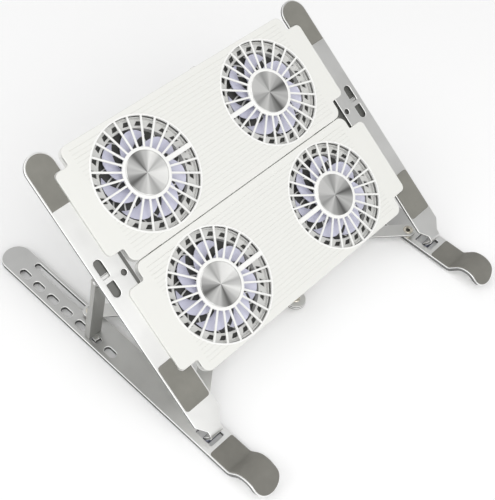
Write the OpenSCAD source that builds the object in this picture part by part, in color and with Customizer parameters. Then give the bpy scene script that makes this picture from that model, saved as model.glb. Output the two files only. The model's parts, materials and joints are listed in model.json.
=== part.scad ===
// Folding aluminium laptop stand with a clip-on pad of four cooling fans.
// Rest position: legs flat on the table, deck propped up in the sixth latch hole.
// X runs across the stand, +Y points to the back, +Z is up, and Z = 0 is under the feet.

/* [Legs] */
// Width of one leg
leg_w = 22; // [20:0.5:24]
// Thickness of one leg
leg_t = 3.2; // [3:0.1:3.6]
// Distance of a leg's middle from the middle of the stand
leg_x = 118.8; // [117:0.2:120]
// Where the round rear end of a leg finishes, behind the hook pad's edge
leg_rear = 216; // [212:1:222]
// Height of the rubber feet
foot_h = 1.6; // [1.2:0.1:2.4]
// Pitch of the seven latch holes
hole_pitch = 15; // [14:0.25:15.5]
// Steepness of the hook's rising side
hook_rise = 46.9; // [40:1:50]
// Angle through which the hook's crest bends
hook_crest = 101.4; // [90:1:106]

/* [Deck] */
// Tilt of the deck above the legs
deck_tilt = 35; // [34:0.25:36]
// Width of one deck arm
arm_w = 22.4; // [21:0.2:23]
// Thickness of one deck arm
arm_t = 2.2; // [2:0.1:2.4]
// Where the round top end of an arm finishes, along the arm
arm_end = 214; // [211:1:218]
// Thickness of the rubber pads
rubber_t = 0.8; // [0.6:0.1:1]

/* [Cooling pad] */
// Half the width of the two fan panels
panel_half = 102.6; // [101:0.2:103.4]
// Distance of a fan's middle from the middle of the pad
fan_x = 58.7; // [57:0.1:60]
// Radius of a round grille
grille_r = 38.7; // [37:0.1:39]
// Number of spokes in a grille
spokes = 24; // [16:2:28]
// Number of blades on a fan
blades = 7; // [5:1:9]

/* [Hidden] */
$fn = 64;

eps = 0.01;            // overlap that joins two solids of one piece
fit = 0.05;            // radial play of a pin in its hole
gap = 0.1;             // gap between pieces that touch on flat faces

// Legs: Y = 0 is the rear edge of the hook's rubber pad, Z = 0 is a leg's top face.
hook_start = 14.9;     // flat length in front of Y = 0
hook_r1 = 4;           // inside radius where the hook turns up
hook_slope = 6.2;      // straight rise
hook_r2 = 12.1;        // radius of the crest
hook_end = 7;          // straight end
bend_steps = 12;
hook_fall = hook_crest - hook_rise;
crest_y = -(hook_start + (hook_r1 + hook_r2) * sin(hook_rise) + hook_slope * cos(hook_rise));
crest_z = (hook_r1 + hook_r2) * (1 - cos(hook_rise)) + hook_slope * sin(hook_rise);
tip_y = crest_y - hook_r2 * sin(hook_fall) - hook_end * cos(hook_fall);
tip_z = crest_z - hook_r2 * (1 - cos(hook_fall)) - hook_end * sin(hook_fall);
floor_z = leg_t + foot_h;
middle_y = (leg_rear + tip_y) / 2;

hole_x = leg_x + 4.9;  // row of latch holes
hole_w = 5.3;
hole_l = 10;
hole_y = 99.4;         // middle of the front hole
slot_w = 4.5;
slot_front = 127.8;
slot_rear = 191.7;
window = [11.4, 14.1]; // hinge window
window_y = 3.4;
window_x = 118.2;

// Deck hinge and the deck's own frame: U along the arm, N out of its face.
hinge_y = 9;
hinge_z = -leg_t / 2;
pin_u = 3.2;
pin_n = -11.15;
hinge_pin_r = 1.1;
barrel_r = 2.6;
arm_x = 118;
neck_w = 10.6;
neck_r = 1.6;          // inside radius of the neck's bend
lug_x = 122.1;         // strut lug, in line with the latch holes
lug_w = 7;
bridge_u = [121.95, 125.25];
lug_u = 126.6;
lug_n = -8.2;
lug_r = 3;
strut_pin_r = 1.5;
arm_slot_w = 6;
bracket_x = [103.4, 128];
bracket_u = [110, 138];
bracket_t = 1;

// Strut, in its own frame: the pin at the origin, Z down its length.
strut_w = 11;
strut_t = 1.4;
strut_lean = 7.35;

// Cross brace between the legs: four bars in two layers.
bar_t = 1.5;
bar_w = 11;
bar_layer = [0.4, 2.3];
brace_x = 112.6;
brace_y = 25.4;
slot_pin_y = 132;
cross_at = 0.59;       // share of a bar from its leg to the crossing
bar_rise = (slot_pin_y - brace_y) / (2 * cross_at);
bar_l = sqrt(brace_x * brace_x + bar_rise * bar_rise);
bar_angle = atan2(bar_rise, brace_x);
rear_centre = [0, brace_y + bar_rise];
front_centre = [0, slot_pin_y - bar_rise];
cross_point = [brace_x * (1 - cross_at), brace_y + cross_at * bar_rise];
rivet_r = 2.5;
small_rivet_r = 2;

// Cooling pad, in the deck's frame.
panel_top = 2;
skin = 1.6;
skirt_n = -3.4;
base_n = -10;
cover_t = 1;
cover_inset = 6;
rear_u = [122.8, 208];
front_u = [38.5, 122.2];
fan_u = [78.9, 165.7];
tab_x = [116.4, 114.4];
tab_u = [[50, 111], [134.5, 196]];
corner_r = 6;
tab_r = 4;
hub_r = 15.2;
hub_ring = 2.3;
spoke_w = 1.5;
wide_spoke_w = 3.6;
duct_r = 31.5;
duct_t = 1.4;
rotor_r = 30.6;
rotor_hub_r = 12.5;
shaft_r = 1.2;
link_x = 82;           // straps between the panels
link_w = 12;
link_l = 14.8;
link_t = 1.2;
link_n = skirt_n - gap - link_t;
board_u = 170;
board_n = base_n + cover_t + 0.8;
socket_w = 9;
socket_h = 3.2;
socket_l = 7.6;
socket_u = 198;
socket_n = board_n + 1.2 + gap;
button_x = 20;
button_n = -6.4;
button_r = 2;
screw_r = 1.8;

/* Frames */

module on_legs() {
    translate([0, -middle_y, floor_z]) children();
}

module on_deck() {
    on_legs()
        translate([0, hinge_y, hinge_z])
            rotate([deck_tilt, 0, 0])
                translate([0, -pin_u, -pin_n]) children();
}

// Builds a piece on the right (side = 1) or mirrored on the left (side = -1).
module hand(side) {
    if (side > 0) children();
    else mirror([1, 0, 0]) children();
}

module on_strut(side) {
    on_deck()
        hand(side)
            translate([lug_x, lug_u, lug_n])
                rotate([-deck_tilt, 0, 0])
                    rotate([strut_lean, 0, 0]) children();
}

/* Shared shapes */

// Round-ended bar of width w along Y, from y0 to y1, standing on Z = 0.
module stadium(x, y0, y1, w, h) {
    translate([x - w / 2, y0 + w / 2, 0]) cube([w, y1 - y0 - w, h]);
    translate([x, y0 + w / 2, 0]) cylinder(d = w, h = h);
    translate([x, y1 - w / 2, 0]) cylinder(d = w, h = h);
}

// Rectangle with corners of radius r.
module rounded(x0, y0, x1, y1, r, h) {
    translate([x0 + r, y0, 0]) cube([x1 - x0 - 2 * r, y1 - y0, h]);
    translate([x0, y0 + r, 0]) cube([x1 - x0, y1 - y0 - 2 * r, h]);
    for (x = [x0 + r, x1 - r], y = [y0 + r, y1 - r]) translate([x, y, 0]) cylinder(r = r, h = h);
}

// Part of a ring about the X axis, from angle a0 to a1, measured from +Y towards +Z.
module bend(r, t, w, a0, a1) {
    rotate([90, 0, 90])
        rotate([0, 0, a0])
            rotate_extrude(angle = a1 - a0)
                translate([r, -w / 2]) square([t, w]);
}

module cylinder_x(x0, x1, r) {
    translate([x0, 0, 0]) rotate([0, 90, 0]) cylinder(r = r, h = x1 - x0);
}

/* Legs */

// Points of the hook's side, d below its top face, from the flat to the tip, as [y, z].
function hook_side(d) = concat(
    [[-hook_start, -d]],
    [for (i = [1:bend_steps]) let (a = hook_rise * i / bend_steps)
        [-hook_start - (hook_r1 + d) * sin(a), hook_r1 - (hook_r1 + d) * cos(a)]],
    [for (i = [0:bend_steps]) let (a = hook_rise - hook_crest * i / bend_steps)
        [crest_y + (hook_r2 - d) * sin(a), crest_z - hook_r2 + (hook_r2 - d) * cos(a)]],
    [[tip_y + d * sin(hook_fall), tip_z - d * cos(hook_fall)]]
);

function reversed(list) = [for (i = [len(list) - 1:-1:0]) list[i]];

// A strip that follows the hook between depths d0 and d1, with a round tip set back by inset.
module hooked_end(w, d0, d1, inset) {
    far = 80;
    intersection() {
        translate([leg_x - w / 2, 0, 0]) rotate([90, 0, 90])
            linear_extrude(w) polygon(concat(hook_side(d0), reversed(hook_side(d1))));
        translate([leg_x, tip_y, tip_z]) rotate([hook_fall, 0, 0]) translate([0, w / 2 + inset, -far / 2])
            linear_extrude(far) polygon(concat(
                [for (i = [0:2 * bend_steps]) let (a = 180 + 90 * i / bend_steps) w / 2 * [cos(a), sin(a)]],
                [[w, 0], [w, far], [-w, far], [-w, 0]]
            ));
    }
}

module latch_hole_cut(i) {
    y = hole_y + i * hole_pitch;
    translate([0, 0, -leg_t - 1]) stadium(hole_x, y - hole_l / 2, y + hole_l / 2, hole_w, leg_t + 2);
}

module leg(side) {
    color("silver") on_legs() hand(side) difference() {
        union() {
            hooked_end(leg_w, 0, leg_t, 0);
            translate([leg_x - leg_w / 2, -hook_start, -leg_t])
                cube([leg_w, leg_rear - leg_w / 2 + hook_start, leg_t]);
            translate([leg_x, leg_rear - leg_w / 2, -leg_t]) cylinder(d = leg_w, h = leg_t);
        }
        for (i = [0:6]) latch_hole_cut(i);
        translate([0, 0, -leg_t - 1]) stadium(brace_x, slot_front, slot_rear, slot_w, leg_t + 2);
        translate([window_x - window.x / 2, window_y, -leg_t - 1]) cube([window.x, window.y, leg_t + 2]);
        translate([0, hinge_y, hinge_z]) cylinder_x(leg_x - leg_w / 2 + 1.2, leg_x + leg_w, hinge_pin_r + fit);
        translate([brace_x, brace_y, -leg_t - 1]) cylinder(r = rivet_r + fit, h = leg_t + 2);
    }
}

module hook_pad(side) {
    w = leg_w - 2;
    color("dimgray") on_legs() hand(side) {
        hooked_end(w, -rubber_t, 0, 1);
        translate([leg_x - w / 2, -hook_start, 0]) cube([w, hook_start, rubber_t]);
    }
}

module feet(side) {
    w = leg_w - 4;
    color("dimgray") on_legs() hand(side) translate([0, 0, -floor_z]) {
        rounded(leg_x - w / 2, -14, leg_x + w / 2, 1, 3, foot_h);
        translate([leg_x - w / 2, 197, 0]) cube([w, leg_rear - 2 - w / 2 - 197, foot_h]);
        translate([leg_x, leg_rear - 2 - w / 2, 0]) intersection() {
            cylinder(d = w, h = foot_h);
            translate([-w, 0, 0]) cube([2 * w, w, foot_h]);
        }
    }
}

module hinge_pin(side) {
    color("lightsteelblue") on_legs() hand(side) translate([0, hinge_y, hinge_z])
        cylinder_x(leg_x - leg_w / 2 + 1.4, leg_x + leg_w / 2 - 0.6, hinge_pin_r);
}

/* Deck arms */

module arm(side) {
    neck_u = pin_u + barrel_r + neck_r;
    straight = arm_end - arm_w / 2;
    color("gainsboro") on_deck() hand(side) difference() {
        union() {
            translate([arm_x - arm_w / 2, 17, -arm_t]) cube([arm_w, straight - 17, arm_t]);
            translate([arm_x, straight, -arm_t]) cylinder(d = arm_w, h = arm_t);
            translate([0, 0, -arm_t]) linear_extrude(arm_t) polygon([
                [arm_x - arm_w / 2, 17 + eps],
                [arm_x + arm_w / 2, 17 + eps],
                [window_x + neck_w / 2, 10],
                [window_x - neck_w / 2, 10]
            ]);
            translate([window_x - neck_w / 2, neck_u, -arm_t]) cube([neck_w, 10 + eps - neck_u, arm_t]);
            translate([window_x, neck_u, -arm_t - neck_r]) bend(neck_r, arm_t, neck_w, 90, 180);
            translate([window_x - neck_w / 2, neck_u - neck_r - arm_t, pin_n])
                cube([neck_w, arm_t, -pin_n - arm_t - neck_r]);
            translate([0, pin_u, pin_n])
                cylinder_x(window_x - neck_w / 2, window_x + neck_w / 2, barrel_r);
            translate([0, lug_u, lug_n]) cylinder_x(lug_x - lug_w / 2, lug_x + lug_w / 2, lug_r);
            translate([lug_x - lug_w / 2, 0, 0]) rotate([90, 0, 90]) linear_extrude(lug_w) polygon([
                [bridge_u[0], 0],
                [bridge_u[0], -arm_t],
                [lug_u - lug_r * cos(20), lug_n + lug_r * sin(20)],
                [lug_u + lug_r * cos(20), lug_n + lug_r * sin(20)],
                [bridge_u[1] + 2, -arm_t],
                [bridge_u[1], -arm_t],
                [bridge_u[1], 0]
            ]);
        }
        translate([0, pin_u, pin_n]) cylinder_x(arm_x - arm_w, arm_x + arm_w, hinge_pin_r + fit);
        translate([0, lug_u, lug_n]) cylinder_x(arm_x - arm_w, arm_x + arm_w, strut_pin_r + fit);
        difference() {
            translate([0, 0, -arm_t - 1])
                stadium(lug_x, 114.4 - arm_slot_w / 2, 135.4 + arm_slot_w / 2, arm_slot_w, arm_t + 2);
            translate([lug_x - lug_w, bridge_u[0], -arm_t - 2])
                cube([2 * lug_w, bridge_u[1] - bridge_u[0], arm_t + 4]);
        }
        translate([110.4, 122.1, -arm_t - 1]) cylinder(r = 2.1, h = arm_t + 2);
    }
}

// Room that a panel's tab takes up on an arm.
module tab_room(i) {
    c = 0.4;
    translate([0, 0, -1]) rounded(90, tab_u[i][0] - c, tab_x[i] + c, tab_u[i][1] + c, tab_r, 4);
}

module arm_upper_pad(side) {
    w = arm_w - 2.4;
    top = arm_end - 1.2;
    color("dimgray") on_deck() hand(side) difference() {
        union() {
            translate([arm_x - w / 2, 177, 0]) cube([w, top - w / 2 - 177, rubber_t]);
            translate([arm_x, top - w / 2, 0]) cylinder(d = w, h = rubber_t);
        }
        tab_room(1);
    }
}

module arm_lower_pad(side) {
    w = arm_w - 2.4;
    color("dimgray") on_deck() hand(side) difference() {
        rounded(arm_x - w / 2, 27.5, arm_x + w / 2, 61.4, 2, rubber_t);
        tab_room(0);
    }
}

module strut_pin(side) {
    color("lightsteelblue") on_deck() hand(side) translate([0, lug_u, lug_n])
        cylinder_x(lug_x - strut_w / 2 - 0.3, lug_x + strut_w / 2 + 0.3, strut_pin_r);
}

// Plate under the arm, behind its slots, that carries the strut.
module strut_bracket(side) {
    c = 0.2;
    color("gray") on_deck() hand(side) translate([0, 0, -arm_t - gap - bracket_t]) difference() {
        rounded(bracket_x[0], bracket_u[0], bracket_x[1], bracket_u[1], 2, bracket_t);
        translate([lug_x - lug_w / 2 - c, bridge_u[0] - c, -1]) cube([lug_w + 2 * c, 6 + 2 * c, bracket_t + 2]);
    }
}

/* Struts */

strut_front = -1;      // front face of the strut, in front of its pin
strut_back = 2.2;      // rear edge of the upper part
strut_wide = 3.8;      // rear edge of the lower part
strut_len = 71.9;
strut_step = 33;
tongue_y = [111.9, 116.3];
tongue_w = 3.8;
tongue_depth = 1;

module strut(side) {
    color("gray") on_strut(side) difference() {
        union() {
            for (s = [-1, 1]) translate([s * (strut_w - strut_t) / 2 - strut_t / 2, 0, 0]) {
                rotate([0, 90, 0]) cylinder(r = 3.1, h = strut_t);
                translate([0, strut_front, -strut_len])
                    cube([strut_t, strut_back - strut_front, strut_len]);
                translate([0, strut_front, -strut_len])
                    cube([strut_t, strut_wide - strut_front, strut_len - strut_step]);
            }
            translate([-strut_w / 2, strut_front, -strut_len]) cube([strut_w, strut_t, strut_len - 7]);
        }
        cylinder_x(-strut_w, strut_w, strut_pin_r + fit);
    }
}

// Bright steel tongue at the strut's foot, which drops into a latch hole.
module latch_tongue(side) {
    r = 1.8;
    top = 1.6;
    color("whitesmoke") on_legs() hand(side) translate([hole_x, 0, 0]) {
        translate([0, tongue_y[0] + r, top - r]) cylinder_x(-tongue_w / 2, tongue_w / 2, r);
        translate([-tongue_w / 2, tongue_y[0], -tongue_depth])
            cube([tongue_w, tongue_y[1] - tongue_y[0], top - r + tongue_depth]);
        translate([-tongue_w / 2, tongue_y[0] + r, top - r - eps])
            cube([tongue_w, tongue_y[1] - tongue_y[0] - r, r + eps]);
    }
}

/* Cross brace */

module bar_shape(r0, r1, z) {
    translate([0, -bar_w / 2, z]) cube([bar_l, bar_w, bar_t]);
    translate([0, 0, z]) cylinder(r = r0, h = bar_t);
    translate([bar_l, 0, z]) cylinder(r = r1, h = bar_t);
}

// A bar from the point at its leg, heading at an angle; holes lists [distance, radius].
module bar(from, heading, layer, end_r, holes) {
    color("darkgray") on_legs() translate([from.x, from.y, 0]) rotate([0, 0, heading]) difference() {
        bar_shape(bar_w / 2, end_r, bar_layer[layer]);
        for (h = holes) translate([h[0], 0, bar_layer[layer] - 1]) cylinder(r = h[1], h = bar_t + 2);
    }
}

front_holes = [[0, rivet_r + fit], [cross_at * bar_l, small_rivet_r + fit], [bar_l, small_rivet_r + fit]];
open_play = 0.3;
centre_end_r = 7.5;

module front_left_bar() bar([-brace_x, brace_y], bar_angle, 0, bar_w / 2, front_holes);
module front_right_bar() bar([brace_x, brace_y], 180 - bar_angle, 1, bar_w / 2, front_holes);

rear_left_holes = [
    [0, small_rivet_r + fit],
    [cross_at * bar_l, small_rivet_r + fit],
    [bar_l, small_rivet_r + fit]
];
rear_right_holes = [
    [0, small_rivet_r + fit],
    [cross_at * bar_l, small_rivet_r + fit],
    [bar_l, small_rivet_r + open_play]
];

module rear_left_bar() bar([-brace_x, slot_pin_y], -bar_angle, 1, centre_end_r, rear_left_holes);
module rear_right_bar() bar([brace_x, slot_pin_y], 180 + bar_angle, 0, centre_end_r, rear_right_holes);

// Headed rivet: a shank between two heads, with a spacing collar under the bar where one is needed.
module rivet(at, r, z0, z1, head_r, collar_z0, collar_z1, bore) {
    color("tan") on_legs() translate([at.x, at.y, 0]) difference() {
        union() {
            translate([0, 0, z0 - 0.6]) cylinder(r = head_r, h = 0.6);
            translate([0, 0, z0 - eps]) cylinder(r = r, h = z1 - z0 + 2 * eps);
            translate([0, 0, z1]) cylinder(r = head_r, h = 0.6);
            if (collar_z1 > collar_z0)
                translate([0, 0, collar_z0]) cylinder(r = head_r, h = collar_z1 - collar_z0);
        }
        if (bore > 0) translate([0, 0, z0 - 2]) cylinder(r = bore, h = z1 - z0 + 4);
    }
}

low_top = bar_layer[0] + bar_t + gap;
high_top = bar_layer[1] + bar_t + gap;
low_bottom = bar_layer[0] - gap;
high_bottom = bar_layer[1] - gap;

module front_left_rivet()
    rivet([-brace_x, brace_y], rivet_r, -leg_t - gap, low_top, 3.8, gap, low_bottom, 1.7);
module front_right_rivet()
    rivet([brace_x, brace_y], rivet_r, -leg_t - gap, high_top, 3.8, gap, high_bottom, 1.7);
module left_cross_rivet()
    rivet([-cross_point.x, cross_point.y], small_rivet_r, low_bottom, high_top, 3.4, 0, 0, 0);
module right_cross_rivet()
    rivet([cross_point.x, cross_point.y], small_rivet_r, low_bottom, high_top, 3.4, 0, 0, 0);
module rear_centre_rivet()
    rivet(rear_centre, small_rivet_r, low_bottom, high_top, 3.4, 0, 0, 0);
module front_centre_rivet()
    rivet(front_centre, small_rivet_r, low_bottom, high_top, 3.4, 0, 0, 0);
module left_slot_pin()
    rivet([-brace_x, slot_pin_y], small_rivet_r, -leg_t - gap, high_top, 3.4, gap, high_bottom, 0);
module right_slot_pin()
    rivet([brace_x, slot_pin_y], small_rivet_r, -leg_t - gap, low_top, 3.4, gap, low_bottom, 0);

/* Cooling pad */

// Outline of one panel without its tabs. row is 0 for the front panel, 1 for the rear one.
function panel_u(row) = row == 0 ? front_u : rear_u;

module panel_block(row, inset, r, h) {
    u = panel_u(row);
    rounded(-panel_half + inset, u[0] + inset, panel_half - inset, u[1] - inset, r, h);
}

module grille(count, r_in, r_out, w, t) {
    for (i = [0:count - 1]) rotate([0, 0, i * 360 / count]) translate([r_in, -w / 2, 0]) cube([r_out - r_in, w, t]);
}

module panel(row) {
    color("ivory") on_deck() {
        difference() {
            union() {
                translate([0, 0, skirt_n]) panel_block(row, 0, corner_r, panel_top - skirt_n);
                for (s = [-1, 1]) hand(s) translate([0, 0, gap])
                    rounded(90, tab_u[row][0], tab_x[row], tab_u[row][1], tab_r, panel_top - gap);
            }
            translate([0, 0, skirt_n - 1]) panel_block(row, skin, corner_r - skin, panel_top - skin - skirt_n + 1);
            for (s = [-1, 1]) translate([s * fan_x, fan_u[row], -1]) cylinder(r = grille_r, h = 5);
        }
        for (s = [-1, 1]) hand(s) translate([fan_x, fan_u[row], panel_top - skin]) {
            grille(spokes, hub_r + 1, grille_r + 1, spoke_w, skin - 0.2);
            translate([-grille_r - 1, -wide_spoke_w / 2, 0]) cube([grille_r - hub_r, wide_spoke_w, skin - 0.2]);
            difference() {
                cylinder(r = hub_r + hub_ring, h = skin);
                translate([0, 0, 0.6]) cylinder(r = hub_r + fit, h = skin);
            }
        }
    }
}

// The four screws of one cover.
module at_screws(row) {
    u = panel_u(row);
    for (s = [-1, 1], v = [u[0] + 12, u[1] - 12]) translate([s * 6, v, 0]) children();
}

module cover(row) {
    color("ivory") on_deck() difference() {
        hull() {
            translate([0, 0, skirt_n - gap - 0.2]) panel_block(row, 0, corner_r, 0.2);
            translate([0, 0, base_n]) panel_block(row, cover_inset, corner_r, 0.2);
        }
        hull() {
            translate([0, 0, skirt_n]) panel_block(row, 1.2, corner_r - 1.2, 0.2);
            translate([0, 0, base_n + cover_t]) panel_block(row, cover_inset + 0.8, corner_r - 1.2, 0.2);
        }
        for (s = [-1, 1]) translate([s * fan_x, fan_u[row], base_n - 1]) difference() {
            cylinder(r = 28, h = cover_t + 2);
            cylinder(r = 12, h = cover_t + 2);
            grille(12, 10, 30, 1.8, cover_t + 2);
            difference() {
                cylinder(r = 20.8, h = cover_t + 2);
                cylinder(r = 19, h = cover_t + 2);
            }
        }
        at_screws(row) translate([0, 0, base_n - 1]) cylinder(r = screw_r + gap, h = 1.5);
        for (s = [-1, 1]) translate([s * link_x, (front_u[1] + rear_u[0]) / 2, link_n - gap])
            translate([-link_w / 2 - gap, -link_l / 2 - gap, 0])
                cube([link_w + 2 * gap, link_l + 2 * gap, link_t + 1]);
        if (row == 1) {
            translate([-socket_w / 2 - gap, socket_u - 1, socket_n - gap])
                cube([socket_w + 2 * gap, 12, socket_h + 1]);
            translate([button_x, rear_u[1] - 8, button_n])
                rotate([-90, 0, 0]) cylinder(r = button_r + 1.5 * gap, h = 12);
        }
    }
}

module at_fan(side, row) {
    on_deck() translate([side * fan_x, fan_u[row], 0]) children();
}

module hub_cap(side, row) {
    color("lightgray") at_fan(side, row) translate([0, 0, panel_top - skin + 0.65]) cylinder(r = hub_r, h = skin - 0.65 + 0.4);
}

module fan_frame(side, row) {
    top = -1.3;
    bottom = base_n + cover_t + gap;
    color("lightgray") at_fan(side, row) {
        difference() {
            union() {
                translate([0, 0, top - 1.2]) cylinder(r = grille_r - 0.3, h = 1.2);
                translate([0, 0, bottom]) cylinder(r = duct_r + duct_t, h = top - bottom);
            }
            translate([0, 0, bottom - 1]) cylinder(r = duct_r, h = top - bottom + 2);
        }
        translate([0, 0, bottom]) {
            cylinder(r = 11, h = 0.8);
            for (i = [0:2]) rotate([0, 0, 90 + i * 120]) translate([10, -2, 0]) cube([duct_r - 9.5, 4, 0.8]);
        }
    }
}

rotor_bottom = -7.4;
rotor_top = -0.6;

module blade_set() {
    intersection() {
        difference() {
            translate([0, 0, rotor_bottom]) cylinder(r = rotor_r, h = rotor_top - 0.8 - rotor_bottom);
            translate([0, 0, rotor_bottom - 1]) cylinder(r = rotor_hub_r - 0.6, h = 12);
        }
        union() for (i = [0:blades - 1]) rotate([0, 0, i * 360 / blades])
            translate([0, 0, (rotor_bottom + rotor_top) / 2]) rotate([28, 0, 0])
                translate([0, -9, -0.6]) cube([rotor_r + 2, 18, 1.2]);
    }
}

module rotor(side, row) {
    color("lavender") at_fan(side, row) {
        difference() {
            union() {
                translate([0, 0, rotor_bottom]) cylinder(r = rotor_hub_r, h = rotor_top - rotor_bottom);
                blade_set();
            }
            translate([0, 0, rotor_bottom - 1]) cylinder(r = rotor_hub_r - 1.4, h = rotor_top - rotor_bottom - 0.2);
        }
        translate([0, 0, rotor_bottom - 0.4]) cylinder(r = shaft_r, h = rotor_top - rotor_bottom);
    }
}

module stator(side, row) {
    bottom = base_n + cover_t + gap + 0.8;
    color("peru") at_fan(side, row) difference() {
        union() {
            translate([0, 0, bottom]) cylinder(r = 3, h = -2.6 - bottom);
            translate([0, 0, bottom + 0.6]) difference() {
                cylinder(r = 10, h = 4);
                for (i = [0:3]) rotate([0, 0, i * 90]) translate([5, -0.8, -1]) cube([6, 1.6, 6]);
            }
        }
        translate([0, 0, bottom + 0.2]) cylinder(r = shaft_r + fit, h = 12);
    }
}

// Two thin hinge straps that join the panels under the seam.
module panel_link() {
    color("gainsboro") on_deck() for (s = [-1, 1]) translate([s * link_x, (front_u[1] + rear_u[0]) / 2, link_n])
        translate([-link_w / 2, -link_l / 2, 0]) cube([link_w, link_l, link_t]);
}

module control_board() {
    color("darkgreen") on_deck() translate([-14, board_u, board_n]) cube([28, 30, 1.2]);
}

module inlet_socket() {
    flat = socket_w - socket_h;
    color("silver") on_deck() translate([0, socket_u, socket_n]) difference() {
        union() {
            translate([-flat / 2, 0, 0]) cube([flat, socket_l, socket_h]);
            for (s = [-1, 1]) translate([s * flat / 2, 0, socket_h / 2])
                rotate([-90, 0, 0]) cylinder(d = socket_h, h = socket_l);
        }
        translate([-flat / 2, 1, 0.4]) cube([flat, socket_l, socket_h - 0.8]);
    }
}

module speed_button() {
    color("ivory") on_deck() translate([button_x, rear_u[1] - 5, button_n])
        rotate([-90, 0, 0]) cylinder(r = button_r, h = 6);
}

module cover_screws() {
    color("gray") on_deck() for (row = [0, 1]) at_screws(row)
        translate([0, 0, base_n - gap]) cylinder(r = screw_r, h = 0.5);
}

leg(-1);  // left_leg
leg(1);  // right_leg
hook_pad(-1);  // left_hook_pad
hook_pad(1);  // right_hook_pad
feet(-1);  // left_feet
feet(1);  // right_feet
hinge_pin(-1);  // left_hinge_pin
hinge_pin(1);  // right_hinge_pin
arm(-1);  // left_arm
arm(1);  // right_arm
arm_upper_pad(-1);  // left_arm_upper_pad
arm_upper_pad(1);  // right_arm_upper_pad
arm_lower_pad(-1);  // left_arm_lower_pad
arm_lower_pad(1);  // right_arm_lower_pad
strut_bracket(-1);  // left_strut_bracket
strut_bracket(1);  // right_strut_bracket
strut_pin(-1);  // left_strut_pin
strut_pin(1);  // right_strut_pin
strut(-1);  // left_strut
strut(1);  // right_strut
latch_tongue(-1);  // left_latch_tongue
latch_tongue(1);  // right_latch_tongue
front_left_bar();
front_right_bar();
rear_left_bar();
rear_right_bar();
front_left_rivet();
front_right_rivet();
left_cross_rivet();
right_cross_rivet();
rear_centre_rivet();
front_centre_rivet();
left_slot_pin();
right_slot_pin();
panel(1);  // rear_panel
panel(0);  // front_panel
cover(1);  // rear_cover
cover(0);  // front_cover
hub_cap(-1, 1);  // rear_left_hub_cap
hub_cap(1, 1);  // rear_right_hub_cap
hub_cap(-1, 0);  // front_left_hub_cap
hub_cap(1, 0);  // front_right_hub_cap
fan_frame(-1, 1);  // rear_left_fan_frame
fan_frame(1, 1);  // rear_right_fan_frame
fan_frame(-1, 0);  // front_left_fan_frame
fan_frame(1, 0);  // front_right_fan_frame
rotor(-1, 1);  // rear_left_rotor
rotor(1, 1);  // rear_right_rotor
rotor(-1, 0);  // front_left_rotor
rotor(1, 0);  // front_right_rotor
stator(-1, 1);  // rear_left_stator
stator(1, 1);  // rear_right_stator
stator(-1, 0);  // front_left_stator
stator(1, 0);  // front_right_stator
panel_link();
control_board();
inlet_socket();
speed_button();
cover_screws();
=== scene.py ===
"""Looks of a folding laptop stand with a clip-on pad of four fans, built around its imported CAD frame."""
import json
import math

import bmesh
import bpy
from mathutils import Matrix, Vector, geometry


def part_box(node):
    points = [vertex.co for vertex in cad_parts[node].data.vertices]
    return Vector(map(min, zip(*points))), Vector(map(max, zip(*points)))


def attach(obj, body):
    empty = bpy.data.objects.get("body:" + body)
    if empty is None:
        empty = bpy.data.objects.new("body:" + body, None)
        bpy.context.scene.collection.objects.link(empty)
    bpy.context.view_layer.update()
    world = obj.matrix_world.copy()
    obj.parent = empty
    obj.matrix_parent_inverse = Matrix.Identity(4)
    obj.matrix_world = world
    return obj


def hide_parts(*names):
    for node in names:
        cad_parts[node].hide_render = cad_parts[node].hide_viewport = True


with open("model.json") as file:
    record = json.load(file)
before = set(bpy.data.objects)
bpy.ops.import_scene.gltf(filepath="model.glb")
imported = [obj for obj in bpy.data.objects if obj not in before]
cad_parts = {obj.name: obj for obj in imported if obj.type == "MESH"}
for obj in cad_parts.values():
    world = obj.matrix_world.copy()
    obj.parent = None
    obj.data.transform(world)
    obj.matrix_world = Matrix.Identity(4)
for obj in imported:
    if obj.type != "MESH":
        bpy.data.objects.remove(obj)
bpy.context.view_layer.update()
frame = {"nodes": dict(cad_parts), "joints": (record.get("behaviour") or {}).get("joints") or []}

MM = 0.001
SIDES = {"left": -1, "right": 1}
ROWS = {"front": 0, "rear": 1}
JOINTS = {j["name"]: j for j in frame["joints"]}

# ---------------------------------------------------------------- sizes, in millimetres
LEG_W, LEG_T, LEG_X, LEG_REAR = 22, 3.2, 118.8, 216
RUBBER_T, FOOT_H, PAD_CORNER = 0.8, 1.6, 1.5
FRONT_FOOT, REAR_FOOT = (-14, 1), 197
HOOK_START, HOOK_R1, HOOK_SLOPE, HOOK_R2, HOOK_END = 14.9, 4, 6.2, 12.1, 7
HOOK_RISE, HOOK_CREST = 46.9, 101.4
HOLE_X, HOLE_W, HOLE_L, HOLE_Y, HOLE_PITCH, HOLES = 123.7, 5.3, 10, 99.4, 15, 7
SLOT_W, SLOT_FRONT, SLOT_REAR, SLOT_X = 4.5, 127.8, 191.7, 112.6
WINDOW_X, WINDOW_Y, WINDOW_W, WINDOW_L = 118.2, 3.4, 11.4, 14.1
HINGE_Y, HINGE_Z, PIN_U, PIN_N = 9, -1.6, 3.2, -11.15
BARREL_R, HINGE_PIN_R, STRUT_PIN_R, BORE_PLAY = 2.6, 1.1, 1.5, 0.06
NECK_W, NECK_R = 10.6, 1.6
ARM_X, ARM_W, ARM_T, ARM_END = 118, 22.4, 2.2, 214
LUG_X, LUG_U, LUG_N, LUG_R, LUG_W = 122.1, 126.6, -8.2, 3, 7
BRIDGE_U = (121.95, 125.25)
NECK_END, SHOULDER, ARM_HOLE = (9.6, 1.6), (16.8, 2.6), (110.4, 122.1, 2.1)
LOWER_PAD_U, UPPER_PAD_U, PAD_R = (27.5, 61.4), 177, 2
ARM_SLOT_W, ARM_SLOT_U = 6, (111.4, 138.4)
BRACKET = (103.4, 128, 110, 138)
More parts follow.
